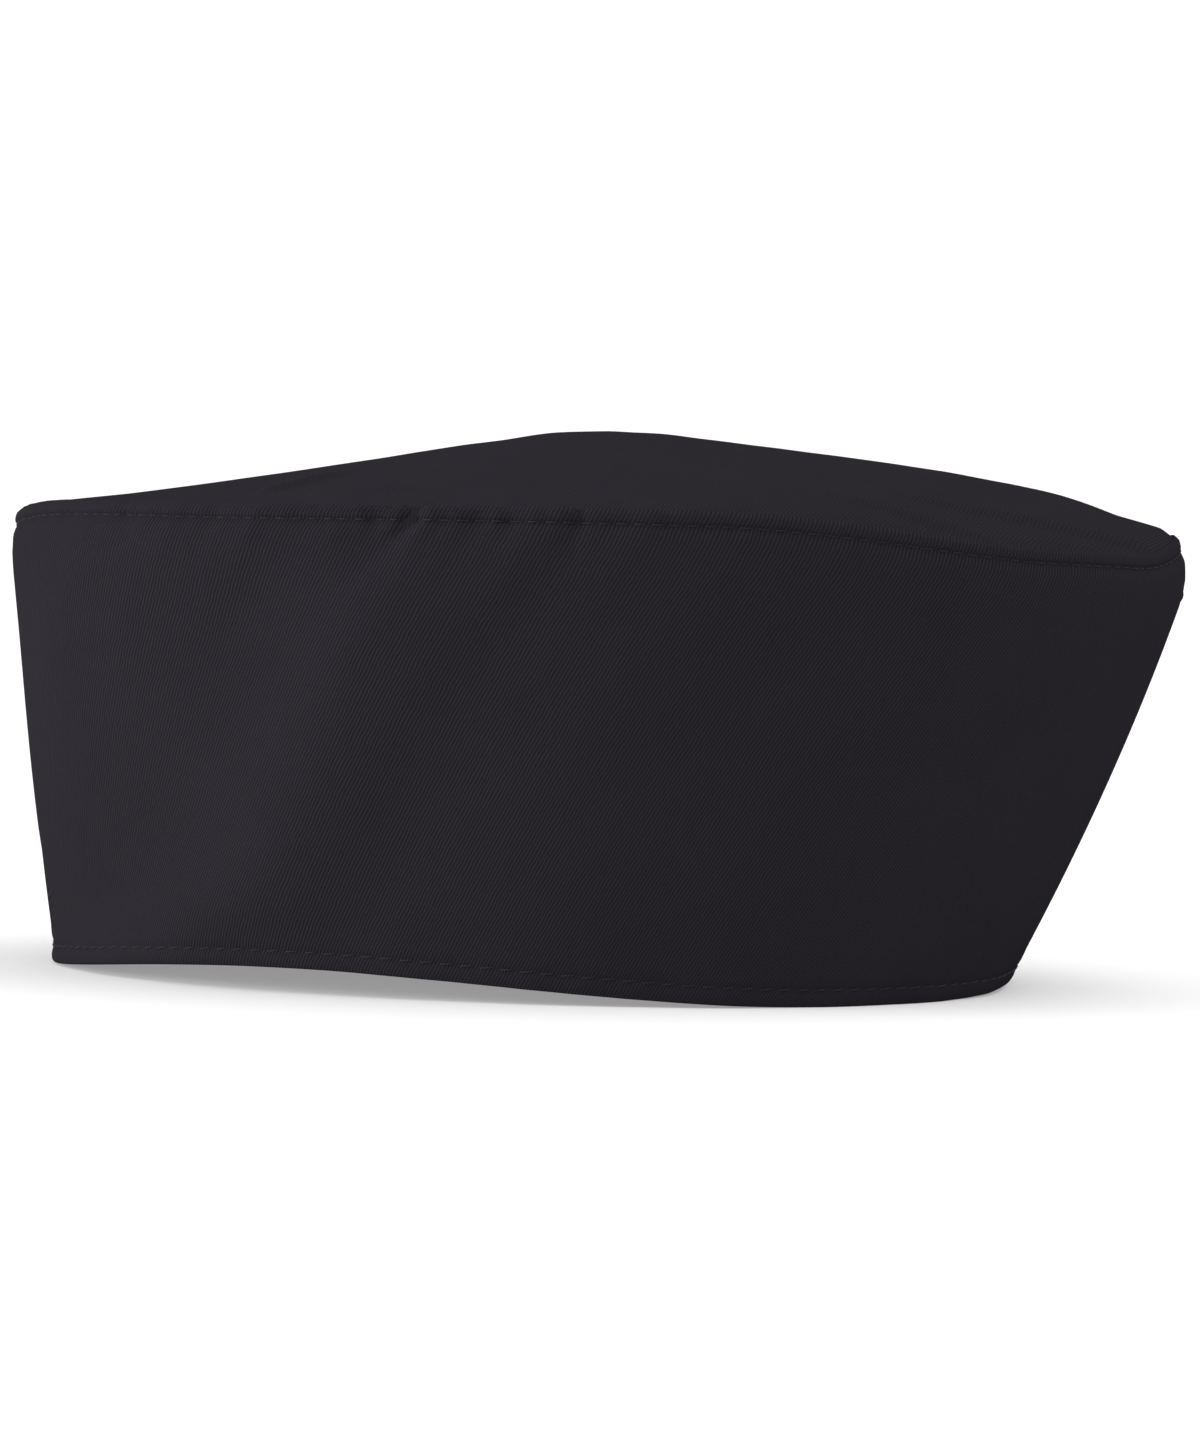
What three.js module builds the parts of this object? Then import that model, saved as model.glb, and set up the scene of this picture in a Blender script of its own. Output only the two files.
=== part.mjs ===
// A chef's skull cap: a deep band that stands round the head, a soft domed crown sewn into
// its top edge, and at the back a flap that laps over and closes with hook-and-loop tape.
//
// Millimetres, +Z up. The front of the cap is at -X and the back at +X, and the hem stands on
// z = 0. Angles go round the cap from the centre back: 0 is the back, 180 the front, and 90 the
// wearer's right side, at +Y.
import * as THREE from "three";
import { mergeVertices } from "three/addons/utils/BufferGeometryUtils.js";

// ---- Driving dimensions ----
const HEM = { front: -111.6, back: 87.4, halfWidth: 83, egg: 0.07 };
const RIM = { front: -122.5, back: 121.5, halfWidth: 85.5, egg: 0.0 };
const BAND_HEIGHT = 93.8;
const BACK_BULGE = 2.6; // the back of the band bows outwards half way up
const LEAN_HEIGHT = 0.9; // share of the height over which the wall leans out to the rim's size
const LEAN_BLEND = 0.06;
const TOP_INSET = 1.5; // the turned top edge sits this far inside the wall below it
const CROWN_RISE = 19.8;
const CROWN_CENTRE_X = 1.8;
const CROWN_TIP_ROUNDNESS = 0.12;
const CROWN_SHOULDER = 0.21; // how much fuller the crown is towards the back
const CROWN_FRONT_DIP = 0.04; // and how much flatter towards the front

// Heights of the hem above the table and of the rim above or below BAND_HEIGHT, as
// [degrees from the centre back, lift], the same on both sides, eased from one to the next.
const HEM_LIFT = [[0, 1], [36, 0], [56, 0], [116, 4.8], [176, 0], [180, 0]];
const RIM_LIFT = [[0, 1], [27, -4.3], [42, -4.3], [80, 0.4], [122, 0], [152, 0.8], [180, -0.7]];

// Cloth layers, as depths below the band's outer face, with a gap between neighbours.
const CLOTH = 0.5;
const GAP = 0.3;
const STEP = CLOTH + GAP;
const LAYER = { outer: 0, stiffener: STEP, lining: 2 * STEP, seamTape: 3 * STEP };

// The closure at the back. The band's ends overlap there, most at the hem and not at all at the
// rim. The wearer's left end runs past the centre as a flap, over the tucked right end.
const SEAM_GAP = 0.8; // between neighbouring edges at the centre back
const FLAP = { reach: 38, low: 1, high: 78, topReach: 4, corner: 8 };
const UNDERLAP = { reach: 37, high: 68 };
const TUCK = 3.4; // depth of the right end below the outer face, where the flap covers it
const TUCK_SLOPE = 26; // it comes back out to the face over this length past the flap
const TUCK_FADE = { from: 70, to: 88 }; // and between these heights
const HOOK = { start: 5, end: 24, low: 6, high: 26 };
const LOOP = { start: 3, end: 54, low: 6, high: 26 };
const TAPE = 0.6;

const THREAD = 0.22; // radius
const RIM_STITCH_DROP = 3;
const HEM_STITCH_RISE = 3.5;
const COLUMNS = 60;
const LAP_COLUMNS = 4;
const HEIGHTS = [0, 8, 26, 46, 66, 78, 84, 88, 91, BAND_HEIGHT]; // the rows that layers share

const FULL_TURN = 2 * Math.PI;
const DEGREE = Math.PI / 180;

// ---- Small helpers ----
const mix = (a, b, k) => a + (b - a) * k;
const smooth = (k) => {
  const c = Math.min(1, Math.max(0, k));
  return c * c * (3 - 2 * c);
};

// The value at an angle of a list of [degrees, value], mirrored about the centre line.
function eased(list, angle) {
  const turned = ((angle % FULL_TURN) + FULL_TURN) % FULL_TURN;
  const degrees = Math.min(turned, FULL_TURN - turned) / DEGREE;
  const next = Math.max(1, list.findIndex(([d]) => d >= degrees - 1e-9));
  const [d0, v0] = list[next - 1];
  const [d1, v1] = list[next];
  return mix(v0, v1, smooth((degrees - d0) / (d1 - d0)));
}

// ---- The band's surface ----
const planX = (o, angle) => mix(o.front, o.back, (1 + Math.cos(angle)) / 2);
const planY = (o, angle) => o.halfWidth * Math.sin(angle) * (1 + o.egg * Math.cos(angle));

// 0 at the hem and 1 at the rim: how much of the way out the wall has leaned.
function lean(up) {
  const late = Math.min(2 * LEAN_BLEND, Math.max(0, up - LEAN_HEIGHT + LEAN_BLEND));
  return Math.min(1, up / LEAN_HEIGHT - (late * late) / (4 * LEAN_BLEND * LEAN_HEIGHT));
}

function outline(angle, up) {
  const out = lean(up);
  const x = mix(planX(HEM, angle), planX(RIM, angle), out);
  const y = mix(planY(HEM, angle), planY(RIM, angle), out);
  return new THREE.Vector2(x, y);
}

function outward(angle, up) {
  const step = 1e-3;
  const along = outline(angle + step, up).sub(outline(angle - step, up));
  return new THREE.Vector2(along.y, -along.x).normalize();
}

const hemZ = (angle) => eased(HEM_LIFT, angle);
const rimZ = (angle) => BAND_HEIGHT + eased(RIM_LIFT, angle);
const share = (height) => height / BAND_HEIGHT;

// A point of the wall, at a share of its height and a depth below its outer face.
function wall(angle, up, depth) {
  const back = Math.max(0, Math.cos(angle)) ** 2;
  const bulge = BACK_BULGE * back * 4 * up * (1 - up);
  const inset = TOP_INSET * smooth((up - LEAN_HEIGHT) / (1 - LEAN_HEIGHT));
  const normal = outward(angle, up);
  const place = outline(angle, up).addScaledVector(normal, bulge - inset - depth);
  return new THREE.Vector3(place.x, place.y, mix(hemZ(angle), rimZ(angle), up));
}

// Lengths along the wall near the centre back, as angles.
const along = (length) => length / HEM.halfWidth;

const flapReach = (height) => mix(FLAP.reach, FLAP.topReach, height / FLAP.high);
const underlap = (height) => UNDERLAP.reach * Math.max(0, 1 - height / UNDERLAP.high);

// How deep the wearer's right end lies under the line of the wall, near the centre back.
function tuck(angle, up) {
  const height = up * BAND_HEIGHT;
  const length = angle * HEM.halfWidth;
  const past = length - flapReach(Math.min(height, FLAP.high)) - 2;
  const low = 1 - smooth((height - TUCK_FADE.from) / (TUCK_FADE.to - TUCK_FADE.from));
  return TUCK * low * (1 - smooth(past / TUCK_SLOPE));
}

// ---- Closed cloth solids ----
// A sheet with thickness. at(u, w, face) gives a point of face 0, the outer, or 1, the inner,
// with u round the cap and w up it. A closed sheet joins up with itself round the cap.
function clothSolid(columns, rows, at, closed = false) {
  const points = [];
  const triangles = [];
  const wide = columns + 1;
  const index = (i, j, face) => (face * (rows + 1) + j) * wide + (closed ? i % columns : i);
  for (const face of [0, 1])
    for (let j = 0; j <= rows; j++)
      for (let i = 0; i <= columns; i++) points.push(at(i / columns, j / rows, face));
  const quad = (a, b, c, d) => triangles.push([a, b, c], [a, c, d]);
  for (let i = 0; i < columns; i++) {
    for (let j = 0; j < rows; j++) {
      quad(index(i, j, 0), index(i + 1, j, 0), index(i + 1, j + 1, 0), index(i, j + 1, 0));
      quad(index(i, j, 1), index(i, j + 1, 1), index(i + 1, j + 1, 1), index(i + 1, j, 1));
    }
    quad(index(i, 0, 0), index(i, 0, 1), index(i + 1, 0, 1), index(i + 1, 0, 0));
    quad(index(i, rows, 0), index(i + 1, rows, 0), index(i + 1, rows, 1), index(i, rows, 1));
  }
  for (let j = 0; j < rows && !closed; j++) {
    quad(index(0, j, 0), index(0, j + 1, 0), index(0, j + 1, 1), index(0, j, 1));
    const end = columns;
    quad(index(end, j, 0), index(end, j, 1), index(end, j + 1, 1), index(end, j + 1, 0));
  }
  return closedGeometry(points, triangles);
}

// Joins points that coincide and drops the triangles that this leaves without area.
function closedGeometry(points, triangles) {
  const raw = new THREE.BufferGeometry().setFromPoints(points);
  const merged = mergeVertices(raw.setIndex(triangles.flat()), 1e-4);
  const kept = [];
  for (let k = 0; k < merged.index.count; k += 3) {
    const [a, b, c] = [0, 1, 2].map((n) => merged.index.getX(k + n));
    if (a !== b && b !== c && c !== a) kept.push(a, b, c);
  }
  merged.setIndex(kept);
  merged.computeVertexNormals();
  return merged;
}

// The heights of a layer's rows: its own two edges and every shared height between them.
const rowsBetween = (low, high) => [low, ...HEIGHTS.filter((h) => h > low && h < high), high];

// A layer of the band between two heights, at a depth below the outer face. It runs from the
// wearer's right end, lap being its share of the underlap, round the front to the left end.
function bandLayer(low, high, depth, thickness, lap) {
  const rows = rowsBetween(low, high);
  const count = COLUMNS + (lap > 0 ? LAP_COLUMNS : 0);
  const start = along(SEAM_GAP / 2);
  return clothSolid(count, rows.length - 1, (u, w, face) => {
    const height = rows[Math.round(w * (rows.length - 1))];
    const column = Math.round(u * count) - (count - COLUMNS);
    const inward = lap * along(underlap(height)) * (column / LAP_COLUMNS);
    const round = mix(start, FULL_TURN - start, column / COLUMNS);
    const angle = column < 0 ? start + inward : round;
    return wall(angle, share(height), tuck(angle, share(height)) + depth + face * thickness);
  });
}

// A patch on the wearer's right of the centre back, between two lengths that may change with
// height. follow is 1 for one that lies on the tucked end and 0 for one on the line of the wall.
function patch(columns, rows, start, end, depth, thickness, follow) {
  return clothSolid(columns, rows.length - 1, (u, w, face) => {
    const height = rows[Math.round(w * (rows.length - 1))];
    const angle = along(mix(start(height), end(height), u));
    const up = share(height);
    return wall(angle, up, follow * tuck(angle, up) + depth + face * thickness);
  });
}

// A loop or line of thread through a list of [length, height] past the centre back.
function threadThrough(places, closed) {
  const points = places.map(([length, height]) => wall(along(length), share(height), threadDepth));
  return threadAlong(points, places.length * 3, closed);
}

// ---- The pieces ----
const bandOuter = () => bandLayer(0, BAND_HEIGHT, LAYER.outer, CLOTH, 1);
const bandStiffener = () => bandLayer(8, 84, LAYER.stiffener, 0.4, 0);
const bandLining = () => bandLayer(0.8, 91.8, LAYER.lining, CLOTH, 0.95);

// The tape that covers the crown's seam inside the cap.
const seamTape = () => bandLayer(84, 92.4, LAYER.seamTape, 0.4, 0);

// How far the crown stands over the rim, as a share of its rise; out is 0 at its tip, 1 at the rim.
function crownShare(angle, out) {
  const tip = CROWN_TIP_ROUNDNESS;
  const cone = (Math.hypot(out, tip) - tip) / (Math.hypot(1, tip) - tip);
  const towardsBack = (1 + Math.cos(angle)) / 2;
  const fuller = CROWN_SHOULDER * towardsBack * Math.sin(Math.PI * out ** 1.7);
  const dip = CROWN_FRONT_DIP * (1 - towardsBack) ** 2 * Math.sin(Math.PI * out ** 1.3);
  return 1 - cone + fuller - dip;
}

// The crown: its seam allowance turned down inside the band's top edge, then the dome.
const CROWN_DROP = 0.3; // its edge lies this far below the band's top edge
const ALLOWANCE_ROWS = HEIGHTS.filter((h) => h >= TUCK_FADE.to && h < BAND_HEIGHT - CROWN_DROP);
const DOME_ROWS = 8;

function crownPoint(angle, out, face) {
  const edge = wall(angle, 1, STEP + face * CLOTH);
  const x = mix(CROWN_CENTRE_X, edge.x, out);
  const y = edge.y * out;
  const sag = (rimZ(angle) - BAND_HEIGHT) * out ** 3;
  const top = BAND_HEIGHT - CROWN_DROP + sag + CROWN_RISE * crownShare(angle, out);
  return new THREE.Vector3(x, y, top - face * CLOTH);
}

const crownPanel = () =>
  clothSolid(COLUMNS, ALLOWANCE_ROWS.length + DOME_ROWS, (u, w, face) => {
    const row = Math.round(w * (ALLOWANCE_ROWS.length + DOME_ROWS));
    const angle = u * FULL_TURN;
    if (row >= ALLOWANCE_ROWS.length)
      return crownPoint(angle, 1 - (row - ALLOWANCE_ROWS.length) / DOME_ROWS, face);
    return wall(angle, share(ALLOWANCE_ROWS[row]), STEP + face * CLOTH);
  }, true);

// Sewing thread, on the outer face of the band.
const threadDepth = -(GAP + THREAD);

function threadAlong(points, steps, closed = false) {
  const path = new THREE.CatmullRomCurve3(points, closed);
  if (closed) return new THREE.TubeGeometry(path, steps, THREAD, 5, true);
  const section = new THREE.Shape().absarc(0, 0, THREAD, 0, FULL_TURN);
  const settings = { extrudePath: path, steps, curveSegments: 5, bevelEnabled: false };
  return new THREE.ExtrudeGeometry(section, settings);
}

function rimThread() {
  const points = [];
  for (let k = 0; k < COLUMNS; k++)
    points.push(wall((k / COLUMNS) * FULL_TURN, 1 - share(RIM_STITCH_DROP), threadDepth));
  return threadAlong(points, COLUMNS, true);
}

function hemThread() {
  const points = [];
  for (let k = 0; k <= COLUMNS; k++) {
    const angle = mix(along(2), FULL_TURN - along(2), k / COLUMNS);
    const up = share(HEM_STITCH_RISE);
    points.push(wall(angle, up, tuck(angle, up) + threadDepth));
  }
  return threadAlong(points, COLUMNS);
}

// The flap's free edge, with its lower corner rounded off.
function flapEdge(height) {
  const into = Math.max(0, FLAP.corner - (height - FLAP.low));
  return flapReach(height) - FLAP.corner + Math.sqrt(FLAP.corner ** 2 - into ** 2);
}

const cornerRows = [0, 0.06, 0.22, 0.55].map((k) => FLAP.low + k * FLAP.corner);
const flapRows = [...cornerRows, ...rowsBetween(FLAP.low + FLAP.corner, FLAP.high)];
const seamSide = () => SEAM_GAP / 2;
const facingEdge = (height) => flapEdge(height) - 0.4;

const flapOuter = () => patch(8, flapRows, seamSide, flapEdge, 0, CLOTH, 0);
const flapFacing = () => patch(8, flapRows, seamSide, facingEdge, STEP, CLOTH, 0);

// Stitched along the hem, round the corner and up the free edge, this far in from it.
const FLAP_STITCH_INSET = 3.5;
const flapLine = (height) => flapReach(height) - FLAP_STITCH_INSET;

function flapThread() {
  const low = FLAP.low + FLAP_STITCH_INSET;
  const places = [[2, low], [14, low], [26, low + 0.2], [flapLine(7) - 1.5, 7]];
  for (const height of [12, 25, 50, 72]) places.push([flapLine(height), height]);
  return threadThrough(places, false);
}

function tapePatch(area, depth, follow) {
  const columns = Math.round((area.end - area.start) / 4);
  const rows = rowsBetween(area.low, area.high);
  return patch(columns, rows, () => area.start, () => area.end, depth, TAPE, follow);
}
const hookTape = () => tapePatch(HOOK, 2 * STEP, 0);
const loopTape = () => tapePatch(LOOP, -GAP - TAPE, 1);

// The box of stitches that holds the hook tape, seen on the outside of the flap.
function hookThread() {
  const places = [];
  const inset = 2;
  const [near, far] = [HOOK.start + inset, HOOK.end - inset];
  const [low, high] = [HOOK.low + inset, HOOK.high - inset];
  const corners = [[near, low], [far, low], [far, high], [near, high]];
  corners.forEach(([s0, h0], k) => {
    const [s1, h1] = corners[(k + 1) % corners.length];
    for (const part of [0.06, 0.5, 0.94]) places.push([mix(s0, s1, part), mix(h0, h1, part)]);
  });
  return threadThrough(places, true);
}

// A dense bar of thread across the top of the flap.
const BARTACK = { half: 4, low: 80, high: 82 };

function bartack() {
  const rows = [BARTACK.low, BARTACK.high];
  return patch(4, rows, () => -BARTACK.half, () => BARTACK.half, -GAP - CLOTH, CLOTH, 0);
}

// A blank woven label, sewn flat to the lining on the wearer's left.
const LABEL = { angle: 318 * DEGREE, halfLength: 19, low: 22, high: 50 };

const careLabel = () =>
  clothSolid(6, 2, (u, w, face) => {
    const angle = LABEL.angle + along((2 * u - 1) * LABEL.halfLength);
    const up = share(mix(LABEL.low, LABEL.high, w));
    return wall(angle, up, LAYER.lining + STEP + face * 0.3);
  });

// ---- Assembly ----
const cloth = (color) => new THREE.MeshStandardMaterial({ color, roughness: 0.9, metalness: 0 });
const twill = cloth(0x26252a);
const stiff = cloth(0xd8d8d4);
const binding = cloth(0x1f1e22);
const thread = cloth(0x3a393f);
const tape = cloth(0x17171a);
const satin = cloth(0xe9e9e6);

const cap = new THREE.Group();
function add(name, geometry, material) {
  const mesh = new THREE.Mesh(geometry, material);
  mesh.name = name;
  cap.add(mesh);
}

add("band_outer", bandOuter(), twill);
add("band_stiffener", bandStiffener(), stiff);
add("band_lining", bandLining(), twill);
add("crown_panel", crownPanel(), twill);
add("crown_seam_tape", seamTape(), binding);
add("crown_topstitch", rimThread(), thread);
add("hem_topstitch", hemThread(), thread);
add("care_label", careLabel(), satin);
add("loop_tape", loopTape(), tape);
add("rear_flap_outer", flapOuter(), twill);
add("rear_flap_facing", flapFacing(), twill);
add("hook_tape", hookTape(), tape);
add("hook_tape_stitch", hookThread(), thread);
add("flap_topstitch", flapThread(), thread);
add("flap_bartack", bartack(), thread);

export default cap;
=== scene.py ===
"""A chef's skull cap in black twill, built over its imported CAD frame.

Lengths are millimetres until a mesh is made, which is in metres. The front of the cap is at -X.
Angles go round it from the centre back: 0 is the back, pi the front, and the side that the
camera sees, the wearer's left, lies between pi and 2 pi.
"""

import math

import bpy
import numpy as np
from mathutils import Matrix, Vector


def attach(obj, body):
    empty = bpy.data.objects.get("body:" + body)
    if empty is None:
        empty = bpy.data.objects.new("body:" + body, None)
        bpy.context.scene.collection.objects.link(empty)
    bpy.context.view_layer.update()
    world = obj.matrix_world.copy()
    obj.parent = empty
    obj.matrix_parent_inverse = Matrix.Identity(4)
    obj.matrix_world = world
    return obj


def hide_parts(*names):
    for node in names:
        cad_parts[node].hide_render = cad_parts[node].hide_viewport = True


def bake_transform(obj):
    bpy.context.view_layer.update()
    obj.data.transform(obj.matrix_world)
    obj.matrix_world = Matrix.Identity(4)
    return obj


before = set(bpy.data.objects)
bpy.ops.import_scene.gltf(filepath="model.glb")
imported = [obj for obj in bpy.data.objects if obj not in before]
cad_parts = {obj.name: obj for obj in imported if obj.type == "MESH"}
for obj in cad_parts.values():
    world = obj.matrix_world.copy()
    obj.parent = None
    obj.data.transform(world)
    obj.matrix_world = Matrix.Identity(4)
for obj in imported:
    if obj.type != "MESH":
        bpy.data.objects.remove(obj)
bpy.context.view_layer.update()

# ---- The wall's surface, the same as the CAD's ----
MM = 0.001
TURN = 2 * math.pi
HEM = {"front": -111.6, "back": 87.4, "half": 83.0, "egg": 0.07}
RIM = {"front": -122.5, "back": 121.5, "half": 85.5, "egg": 0.0}
BAND = 93.8
BACK_BULGE = 2.6
LEAN_HEIGHT = 0.9
LEAN_BLEND = 0.06
TOP_INSET = 1.5
CROWN_RISE = 19.8
CROWN_CENTRE_X = 1.8
CROWN_TIP = 0.12
CROWN_SHOULDER = 0.21
CROWN_FRONT_DIP = 0.04
CROWN_DROP = 0.3
HEM_LIFT = [(0, 1), (36, 0), (56, 0), (116, 4.8), (176, 0), (180, 0)]
RIM_LIFT = [(0, 1), (27, -4.3), (42, -4.3), (80, 0.4), (122, 0), (152, 0.8), (180, -0.7)]

# Layers as depths below the band's outer face, and the closure at the back.
CLOTH = 0.5
THIN_CLOTH = 0.4  # the stiffener and the seam tape
STEP = 0.8
BAND_FLAT = (0.66, 0.1)  # metres, the band's strip before it is sewn
SEAM_GAP = 0.16  # the two ends of the band all but meet
FLAP = {"reach": 38.0, "low": 1.0, "high": 78.0, "top": 4.0, "corner": 8.0}
UNDERLAP = {"reach": 37.0, "high": 68.0}
TUCK = 3.4
TUCK_SLOPE = 26.0
TUCK_FADE = (70.0, 88.0)
HOOK = {"start": 5.0, "end": 24.0, "low": 6.0, "high": 26.0}
LOOP = {"start": 3.0, "end": 54.0, "low": 6.0, "high": 26.0}
TAPE = 0.6

# ---- Relief of the band, as heights above its wall ----
RIM_RIDGE = 0.56  # the crown's seam allowance, turned up under the band's edge
RIM_RIDGE_AT_SEAM = 0.5  # its share that is lost at the centre back, within RIM_RIDGE_FADE
RIM_RIDGE_FADE = 18
RIM_FURROW = 0.17
RIM_SWELL = 0.3
HEM_FURROW = 0.2
HEM_SWELL = 0.3
HEM_FOLD = 1.35  # thickness of the doubled cloth at the hem
TURN_IN = 0.4  # the top edge leans in over the crown by this much, above TURN_IN_FROM
TURN_IN_FROM = 92.9
TURN_IN_OVER = 0.9
EDGE_RADIUS = 0.7

# ---- Sewing ----
RIM_ROW = 3.0  # the crown's topstitch lies this far below the band's top edge
RIM_PITCH = 3.1
HEM_ROW = 3.5
HEM_PITCH = 4.3
FLAP_ROW = 3.5
THREAD = 0.16
STITCH_BOW = np.array([-0.3, 0.02, 0.12, 0.15, 0.12, 0.02, -0.3])  # from hole to hole
STITCH_SIDES = 6

# ---- Weave: a 2/1 twill whose wales climb to the right ----
WARP_PITCH = 0.245 * MM
WEFT_PITCH = 0.61 * MM
WALE_RELIEF = 0.08 * MM
PLAIN_PITCH = 0.35 * MM  # the seam tape's plain weave


def mix(a, b, k):
    return a + (b - a) * k


def smooth(k):
    c = np.clip(k, 0, 1)
    return c * c * (3 - 2 * c)


def bell(x, width):
    return np.exp(-((x / width) ** 2))


def eased(steps, angle):
    """The value at each angle of a list of (degrees, value), the same on both sides."""
    degrees = np.degrees(np.mod(angle, TURN))
    degrees = np.minimum(degrees, 360 - degrees)
    value = np.full_like(degrees, steps[0][1], dtype=float)
    for (d0, v0), (d1, v1) in zip(steps, steps[1:]):
        value = np.where(degrees >= d0, mix(v0, v1, smooth((degrees - d0) / (d1 - d0))), value)
    return value


def lean(up):
    late = np.clip(up - LEAN_HEIGHT + LEAN_BLEND, 0, 2 * LEAN_BLEND)
    return np.minimum(1, up / LEAN_HEIGHT - late**2 / (4 * LEAN_BLEND * LEAN_HEIGHT))


def plan(oval, angle):
    x = mix(oval["front"], oval["back"], (1 + np.cos(angle)) / 2)
    y = oval["half"] * np.sin(angle) * (1 + oval["egg"] * np.cos(angle))
    return x, y


def outline(angle, up):
    (hx, hy), (rx, ry) = plan(HEM, angle), plan(RIM, angle)
    return mix(hx, rx, lean(up)), mix(hy, ry, lean(up))


def hem_z(angle):
    return eased(HEM_LIFT, angle)


def rim_z(angle):
    return BAND + eased(RIM_LIFT, angle)


def wall(angle, height, depth):
    """Points of the wall at heights of 0 to BAND and depths below its outer face."""
    angle, height, depth = np.broadcast_arrays(*(np.asarray(v, float) for v in (angle, height, depth)))
    up = height / BAND
    small = 1e-3
    x0, y0 = outline(angle - small, up)
    x1, y1 = outline(angle + small, up)
    length = np.hypot(x1 - x0, y1 - y0)
    bulge = BACK_BULGE * np.maximum(0, np.cos(angle)) ** 2 * 4 * up * (1 - up)
    inset = TOP_INSET * smooth((up - LEAN_HEIGHT) / (1 - LEAN_HEIGHT))
    out = bulge - inset - depth
    x, y = outline(angle, up)
    z = mix(hem_z(angle), rim_z(angle), up)
    return np.stack([x + out * (y1 - y0) / length, y - out * (x1 - x0) / length, z], -1)


def along(length):
    """A length along the wall near the centre back, as an angle."""
    return length / HEM["half"]


def flap_reach(height):
    return mix(FLAP["reach"], FLAP["top"], height / FLAP["high"])


def underlap(height):
    return UNDERLAP["reach"] * np.maximum(0, 1 - height / UNDERLAP["high"])


def tuck(angle, height):
    """How deep the wearer's right end lies below the wall's own line."""
    past = angle * HEM["half"] - flap_reach(np.minimum(height, FLAP["high"])) - 2
    low = 1 - smooth((height - TUCK_FADE[0]) / (TUCK_FADE[1] - TUCK_FADE[0]))
    return TUCK * low * (1 - smooth(past / TUCK_SLOPE))


ARC_ANGLES = np.linspace(-0.6, TURN + 0.6, 1400)
ARC_POINTS = np.stack(outline(ARC_ANGLES, 0.5), -1)
ARC_LENGTHS = np.concatenate([[0], np.cumsum(np.linalg.norm(np.diff(ARC_POINTS, axis=0), axis=1))])


def arc(angle):
    """The length round the band, half way up, as far as an angle."""
    return np.interp(angle, ARC_ANGLES, ARC_LENGTHS)


def waves(x, seed, terms, shortest, longest):
    """A smooth uneven wave along x, from about -1 to 1, made of a few sines."""
    pick = np.random.default_rng(seed)
    lengths = pick.uniform(shortest, longest, terms)
    phases = pick.uniform(0, TURN, terms)
    return sum(np.sin(TURN * x / n + p) for n, p in zip(lengths, phases)) / math.sqrt(terms)


# ---- Meshes ----
def new_piece(name, points, faces, flat, material, body="cap"):
    """A smooth mesh from millimetre points. flat is each point's place on the flat cloth."""
    mesh = bpy.data.meshes.new(name)
    mesh.from_pydata((points * MM).tolist(), [], faces)
    mesh.validate()
    mesh.polygons.foreach_set("use_smooth", [True] * len(mesh.polygons))
    layer = mesh.attributes.new("cloth", "FLOAT_VECTOR", "POINT")
    places = np.zeros((len(points), 3))
    places[:, : flat.shape[1]] = flat * MM
    layer.data.foreach_set("vector", places.ravel())
    mesh.materials.append(material)
    piece = bpy.data.objects.new(name, mesh)
    bpy.context.scene.collection.objects.link(piece)
    if body:
        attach(piece, body)
    return piece


def grid_faces(columns, rows, closed_round):
    """Quads of a sheet's two faces, its two long edges and, if it is open, its two ends."""
    wide = columns if closed_round else columns + 1
    face = wide * (rows + 1)

    def at(i, j, side):
        return side * face + j * wide + i % wide

    quads = []
    for i in range(columns):
        for j in range(rows):
            quads.append((at(i, j, 0), at(i + 1, j, 0), at(i + 1, j + 1, 0), at(i, j + 1, 0)))
            quads.append((at(i, j, 1), at(i, j + 1, 1), at(i + 1, j + 1, 1), at(i + 1, j, 1)))
        quads.append((at(i, 0, 0), at(i, 0, 1), at(i + 1, 0, 1), at(i + 1, 0, 0)))
        quads.append((at(i, rows, 0), at(i + 1, rows, 0), at(i + 1, rows, 1), at(i, rows, 1)))
    for j in range(0 if closed_round else rows):
        quads.append((at(0, j, 0), at(0, j + 1, 0), at(0, j + 1, 1), at(0, j, 1)))
        end = columns
        quads.append((at(end, j, 0), at(end, j, 1), at(end, j + 1, 1), at(end, j + 1, 0)))
    return quads


def rounding(distance, radius):
    """1 inside a sheet, falling to a little above 0 at its edge, as a round edge does."""
    return np.sqrt(np.maximum(0.02, 1 - (1 - np.clip(distance / radius, 0, 1)) ** 2))


def edge_rows(low, high, spacing, radius):
    """Heights from low to high with extra ones close to both edges, to round them."""
    near = radius * np.array([0, 0.08, 0.3, 0.65])
    middle = np.linspace(low + radius, high - radius, max(2, int((high - low) / spacing)))
    return np.concatenate([low + near, middle, (high - near)[::-1]])


def sheet_piece(name, angles, heights, outer, inner, material, body="cap"):
    """A sheet with thickness. angles and heights are grids, outer and inner depths on them."""
    rows, columns = angles.shape
    middle, half = (outer + inner) / 2, (inner - outer) / 2
    sides = [wall(angles, heights, middle - half), wall(angles, heights, middle + half)]
    flat = np.stack([arc(angles), np.broadcast_to(heights, angles.shape)], -1)
    points = np.concatenate([s.reshape(-1, 3) for s in sides])
    flats = np.concatenate([flat.reshape(-1, 2)] * 2)
    faces = grid_faces(columns - 1, rows - 1, False)
    return new_piece(name, points, faces, flats, material, body)


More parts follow.
